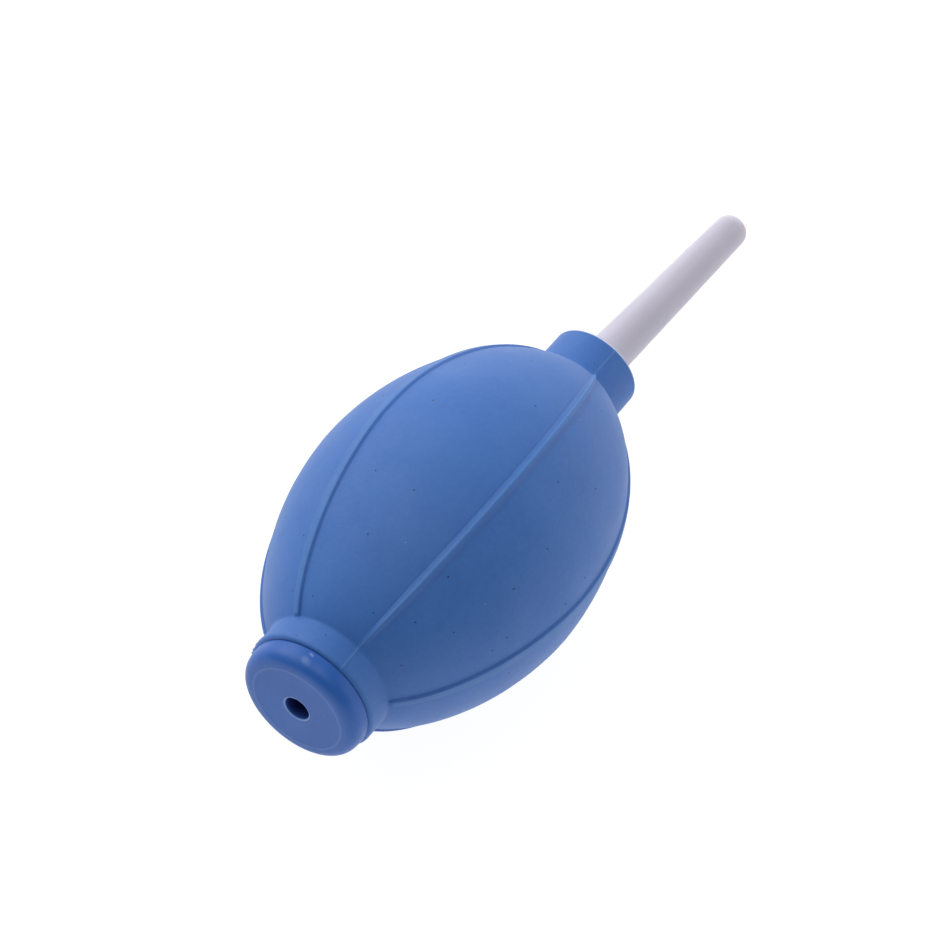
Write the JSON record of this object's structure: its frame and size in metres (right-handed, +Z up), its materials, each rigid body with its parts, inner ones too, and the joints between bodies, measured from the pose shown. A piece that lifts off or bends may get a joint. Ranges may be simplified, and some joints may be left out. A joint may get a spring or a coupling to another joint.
{
  "type": "rubber air blower",
  "caption": "Ribbed rubber hand air blower lying on its side, with a tapered plastic nozzle and a one-way inlet valve in its rear neck.",
  "frame": {"origin": "on the table under the middle of the whole length, on the bulb's upright middle plane", "axes": "+X runs along the bulb's axis from the inlet plug to the nozzle, +Z is up from the table that the bulb lies on, and -Y is the side that the nozzle leans to"},
  "size_m": [0.1209, 0.0494, 0.0481],
  "materials": {
    "bulb_rubber": "matte moulded rubber with a fine sanded grain",
    "plug_plastic": "satin moulded plastic",
    "valve_rubber": "smooth thin sheet rubber",
    "cage_plastic": "plain moulded plastic",
    "nozzle_plastic": "satin off-white moulded plastic"
  },
  "bodies": {
    "bulb": {"bulb_shell": "bulb_rubber"},
    "thumb_wall": {"bulb_thumb_wall": "bulb_rubber"},
    "inlet_valve": {"inlet_plug": "plug_plastic", "valve_cage": "cage_plastic"},
    "disc": {"valve_disc": "valve_rubber"},
    "nozzle": {"nozzle": "nozzle_plastic"}
  },
  "joints": [
    {"name": "bulb_squeeze", "type": "slide", "parent": "bulb", "child": "thumb_wall", "axis": [0, 0, -1], "range_m": [0, 0.008], "stiffness_N_per_m": 1500},
    {"name": "inlet_pull", "type": "slide", "parent": "bulb", "child": "inlet_valve", "axis": [-1, 0, 0], "range_m": [0, 0.012]},
    {"name": "disc_float", "type": "slide", "parent": "inlet_valve", "child": "disc", "axis": [1, 0, 0], "range_m": [0, 0.001]},
    {"name": "nozzle_pull", "type": "slide", "parent": "bulb", "child": "nozzle", "axis": [0.9985, -0.0541, 0], "range_m": [0, 0.014]}
  ]
}
